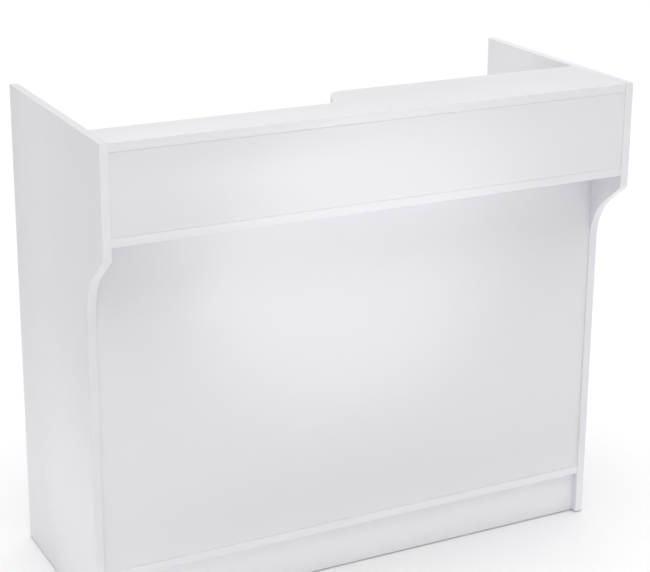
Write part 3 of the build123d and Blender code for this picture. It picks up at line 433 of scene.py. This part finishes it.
def sweep_band(bm, path, outward_left, place, width):
    """Sweep a band along a 2-D path; place(point, across) gives the 3-D point."""
    section = band_section(width - 2 * BAND_SHY, BAND_T, BAND_ROUND)
    rings = []
    last = len(path) - 1
    for i, point in enumerate(path):
        ahead = path[i + 1] - point if i < last else point - path[i - 1]
        behind = point - path[i - 1] if i else ahead
        t0, t1 = behind.normalized(), ahead.normalized()
        n0, n1 = Vector((-t0.y, t0.x)), Vector((-t1.y, t1.x))
        normal = (n0 + n1).normalized()
        normal /= max(1 / LONGEST_MITRE, normal.dot(n0))
        if not outward_left:
            normal = -normal
        rings.append([bm.verts.new(place(point + normal * depth, BAND_SHY + across))
                      for across, depth in section])
    for ring, following in zip(rings, rings[1:]):
        for j in range(len(section)):
            k = (j + 1) % len(section)
            bm.faces.new((ring[j], ring[k], following[k], following[j]))
    bm.faces.new(rings[0])
    bm.faces.new(list(reversed(rings[-1])))


# ---------------------------------------------------------------- edge bands


def side_profile():
    """Front edge of a side panel from the floor up, as (y, z)."""
    points = [
        (LOW.y + OVERHANG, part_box("left_panel_edge_bands")[0].z),
        (LOW.y + OVERHANG, COVE_BOTTOM_Z),
        (LOW.y, COVE_TOP_Z),
        (LOW.y, HIGH.z - BAND_T),
    ]
    return fillet_path(points, [COVE_HOLLOW_R, COVE_NOSE_R])


def side_panel_bands(node):
    """Front, rear and top bands of one side panel."""
    low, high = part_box(node)
    width = high.x - low.x
    bm = bmesh.new()

    def upright(point, across):
        return (low.x + across, point.x, point.y)

    sweep_band(bm, side_profile(), True, upright, width)
    rear = [Vector((high.y, low.z)), Vector((high.y, high.z - BAND_T))]
    sweep_band(bm, rear, False, upright, width)
    top = [Vector((low.y, high.z)), Vector((high.y, high.z))]
    sweep_band(bm, top, True, upright, width)
    make_bands(node + "_strips", bm, node)


def flat_band(bm, low, high, front):
    """A straight band on the front or rear edge of a horizontal board from low to high."""
    y = low.y if front else high.y
    path = [Vector((low.x, y)), Vector((high.x, y))]
    sweep_band(bm, path, not front, lambda p, across: (p.x, p.y, low.z + across), high.z - low.z)


def board_bands(node):
    """The straight front and rear bands of a horizontal board."""
    low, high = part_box(node)
    bm = bmesh.new()
    flat_band(bm, low, high, True)
    flat_band(bm, low, high, False)
    make_bands(node + "_strips", bm, node)


def rear_band(node):
    """A single band on a shelf's rear edge."""
    low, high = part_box(node)
    bm = bmesh.new()
    flat_band(bm, low, high, False)
    make_bands(node + "_strip", bm, node)


def upright_rear_band(node):
    """A single band on an upright board's rear edge."""
    low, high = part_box(node)
    bm = bmesh.new()
    path = [Vector((high.y, low.z)), Vector((high.y, high.z))]
    sweep_band(bm, path, False, lambda p, across: (low.x + across, p.x, p.y), high.x - low.x)
    make_bands(node + "_strip", bm, node)


def ledge_bands(node):
    """Straight front band, and the rear band that follows the slanted step."""
    low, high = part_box(node)
    bm = bmesh.new()
    flat_band(bm, low, high, True)
    shallow_y = LOW.y + LEDGE_SHALLOW
    points = [(low.x, shallow_y), (STEP_FRONT_X, shallow_y), (STEP_REAR_X, high.y),
              (high.x, high.y)]
    path = fillet_path(points, [STEP_INNER_R, STEP_OUTER_R])
    sweep_band(bm, path, True, lambda p, across: (p.x, p.y, low.z + across), high.z - low.z)
    make_bands(node + "_strips", bm, node)


def drawer_face_bands(node):
    """Four bands round the drawer face."""
    low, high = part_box(node)
    bm = bmesh.new()
    depth = high.y - low.y

    def across_face(point, across):
        return (point.x, low.y + across, point.y)

    for z, outward_left in ((high.z, True), (low.z, False)):
        path = [Vector((low.x, z)), Vector((high.x, z))]
        sweep_band(bm, path, outward_left, across_face, depth)
    for x, outward_left in ((low.x, True), (high.x, False)):
        path = [Vector((x, low.z + BAND_T)), Vector((x, high.z - BAND_T))]
        sweep_band(bm, path, outward_left, across_face, depth)
    make_bands(node + "_strips", bm, node)


# ---------------------------------------------------------------- pieces

BOARDS = [
    "left_side_panel", "right_side_panel", "ledge_top", "fascia_panel", "ledge_divider",
    "worktop", "front_panel", "bottom_deck", "kick_plate", "rear_kick_plate", "partition",
    "left_shelf", "right_shelf", "drawer_face",
]
for name in BOARDS:
    board(name, FASCIA_EASE if name == "fascia_panel" else BOARD_EASE)
for name in ("left_panel_edge_bands", "right_panel_edge_bands"):
    side_panel_bands(name)
for name in ("worktop_edge_bands", "deck_edge_bands"):
    board_bands(name)
for name in ("left_shelf_edge_band", "right_shelf_edge_band"):
    rear_band(name)
for name in ("partition_edge_band", "divider_edge_band"):
    upright_rear_band(name)
ledge_bands("ledge_edge_bands")
drawer_face_bands("drawer_face_edge_bands")

for name, obj in frame["nodes"].items():
    if not obj.hide_render:
        obj.data.materials.clear()
        obj.data.materials.append(MATERIALS[SLOT_OF[name]])

# ---------------------------------------------------------------- studio


def floor():
    material, tree, shader = new_material("studio_floor")
    vector = object_coords(tree)
    tone = remap(tree, noise(tree, vector, scale=1.2))
    tree.links.new(blend_colours(tree, tone, (0.905, 0.905, 0.907), (0.92, 0.92, 0.922)),
                   shader.inputs["Base Color"])
    shader.inputs["Roughness"].default_value = 0.6
    bpy.ops.mesh.primitive_circle_add(vertices=FLOOR_CORNERS, radius=FLOOR_RADIUS,
                                      fill_type="NGON")
    plane = bpy.context.object
    plane.name = "studio_floor"
    plane.data.materials.append(material)


def hang(data, place, aim):
    """Place a light and point it."""
    light = bpy.data.objects.new(data.name, data)
    bpy.context.scene.collection.objects.link(light)
    light.location = place
    light.rotation_euler = (Vector(aim) - Vector(place)).to_track_quat("-Z", "Y").to_euler()
    light.visible_camera = False


def area_light(name, place, aim, size, energy, spread=180.0):
    data = bpy.data.lights.new(name, "AREA")
    data.shape = "RECTANGLE"
    data.spread = math.radians(spread)
    data.size, data.size_y = size
    data.energy = energy
    hang(data, place, aim)


def pool_light(name, place, aim, cone, energy, softness):
    """A round pool of light with a fully blended edge."""
    data = bpy.data.lights.new(name, "SPOT")
    data.energy = energy
    data.shadow_soft_size = softness
    data.spot_size = math.radians(cone)
    data.spot_blend = 1.0
    hang(data, place, aim)


def sky_light(name, place, spread, energy):
    """A sun as wide as an overcast patch of sky, aimed at the origin."""
    data = bpy.data.lights.new(name, "SUN")
    data.energy = energy
    data.angle = math.radians(spread)
    hang(data, place, (0.0, 0.0, 0.0))


def world():
    studio = bpy.data.worlds.new("studio")
    studio.use_nodes = True
    background = studio.node_tree.nodes["Background"]
    background.inputs["Color"].default_value = (1.0, 1.0, 1.0, 1.0)
    background.inputs["Strength"].default_value = WORLD_STRENGTH
    bpy.context.scene.world = studio


def camera():
    yaw, pitch, roll = (math.radians(a) for a in (CAMERA_YAW, CAMERA_PITCH, CAMERA_ROLL))
    ahead = Vector((math.sin(yaw) * math.cos(pitch), math.cos(yaw) * math.cos(pitch),
                    -math.sin(pitch)))
    level = Vector((math.cos(yaw), -math.sin(yaw), 0.0))
    down = ahead.cross(level)
    across = level * math.cos(roll) + down * math.sin(roll)
    drop = down * math.cos(roll) - level * math.sin(roll)
    data = bpy.data.cameras.new("camera")
    data.sensor_width = SENSOR_MM
    data.lens = LENS_MM
    data.shift_y = SHIFT_Y
    data.clip_end = CLIP_END
    view = bpy.data.objects.new("camera", data)
    bpy.context.scene.collection.objects.link(view)
    turn = Matrix((across, -drop, -ahead)).transposed().to_4x4()
    view.matrix_world = Matrix.Translation(CAMERA_PLACE) @ turn
    bpy.context.scene.camera = view


floor()
world()
camera()
sky_light("sky", place=(0.12, -0.12, 2.0), spread=75.0, energy=SKY_ENERGY)
sky_light("sky_tilted", place=(-0.25, 0.3, 2.0), spread=60.0, energy=SKY_TILTED_ENERGY)
area_light("front", place=(0.3, -3.3, 0.30), aim=(0.0, 0.0, 0.3), size=(2.8, 0.4),
           energy=FRONT_ENERGY)
area_light("kick", place=(0.0, -1.3, 0.05), aim=(0.0, 0.0, 0.05), size=(1.5, 0.06),
           energy=KICK_ENERGY, spread=14.0)
area_light("low_left", place=(-1.9, -0.1, 0.10), aim=(-0.6, 0.0, 0.10), size=(1.2, 0.1),
           energy=LOW_LEFT_ENERGY, spread=50.0)
pool_light("inner", place=(-0.30, 0.22, 1.75), aim=(0.6, 0.10, 0.99), cone=40.0,
           energy=INNER_ENERGY, softness=0.2)
pool_light("pool", place=(-0.05, -2.3, 0.50), aim=(-0.01, -0.17, 0.76), cone=26.0,
           energy=POOL_ENERGY, softness=0.1)
pool_light("pool_wide", place=(-0.05, -2.3, 0.50), aim=(0.0, -0.17, 0.74), cone=38.0,
           energy=POOL_WIDE_ENERGY, softness=0.1)
bpy.context.scene.view_settings.view_transform = "Standard"
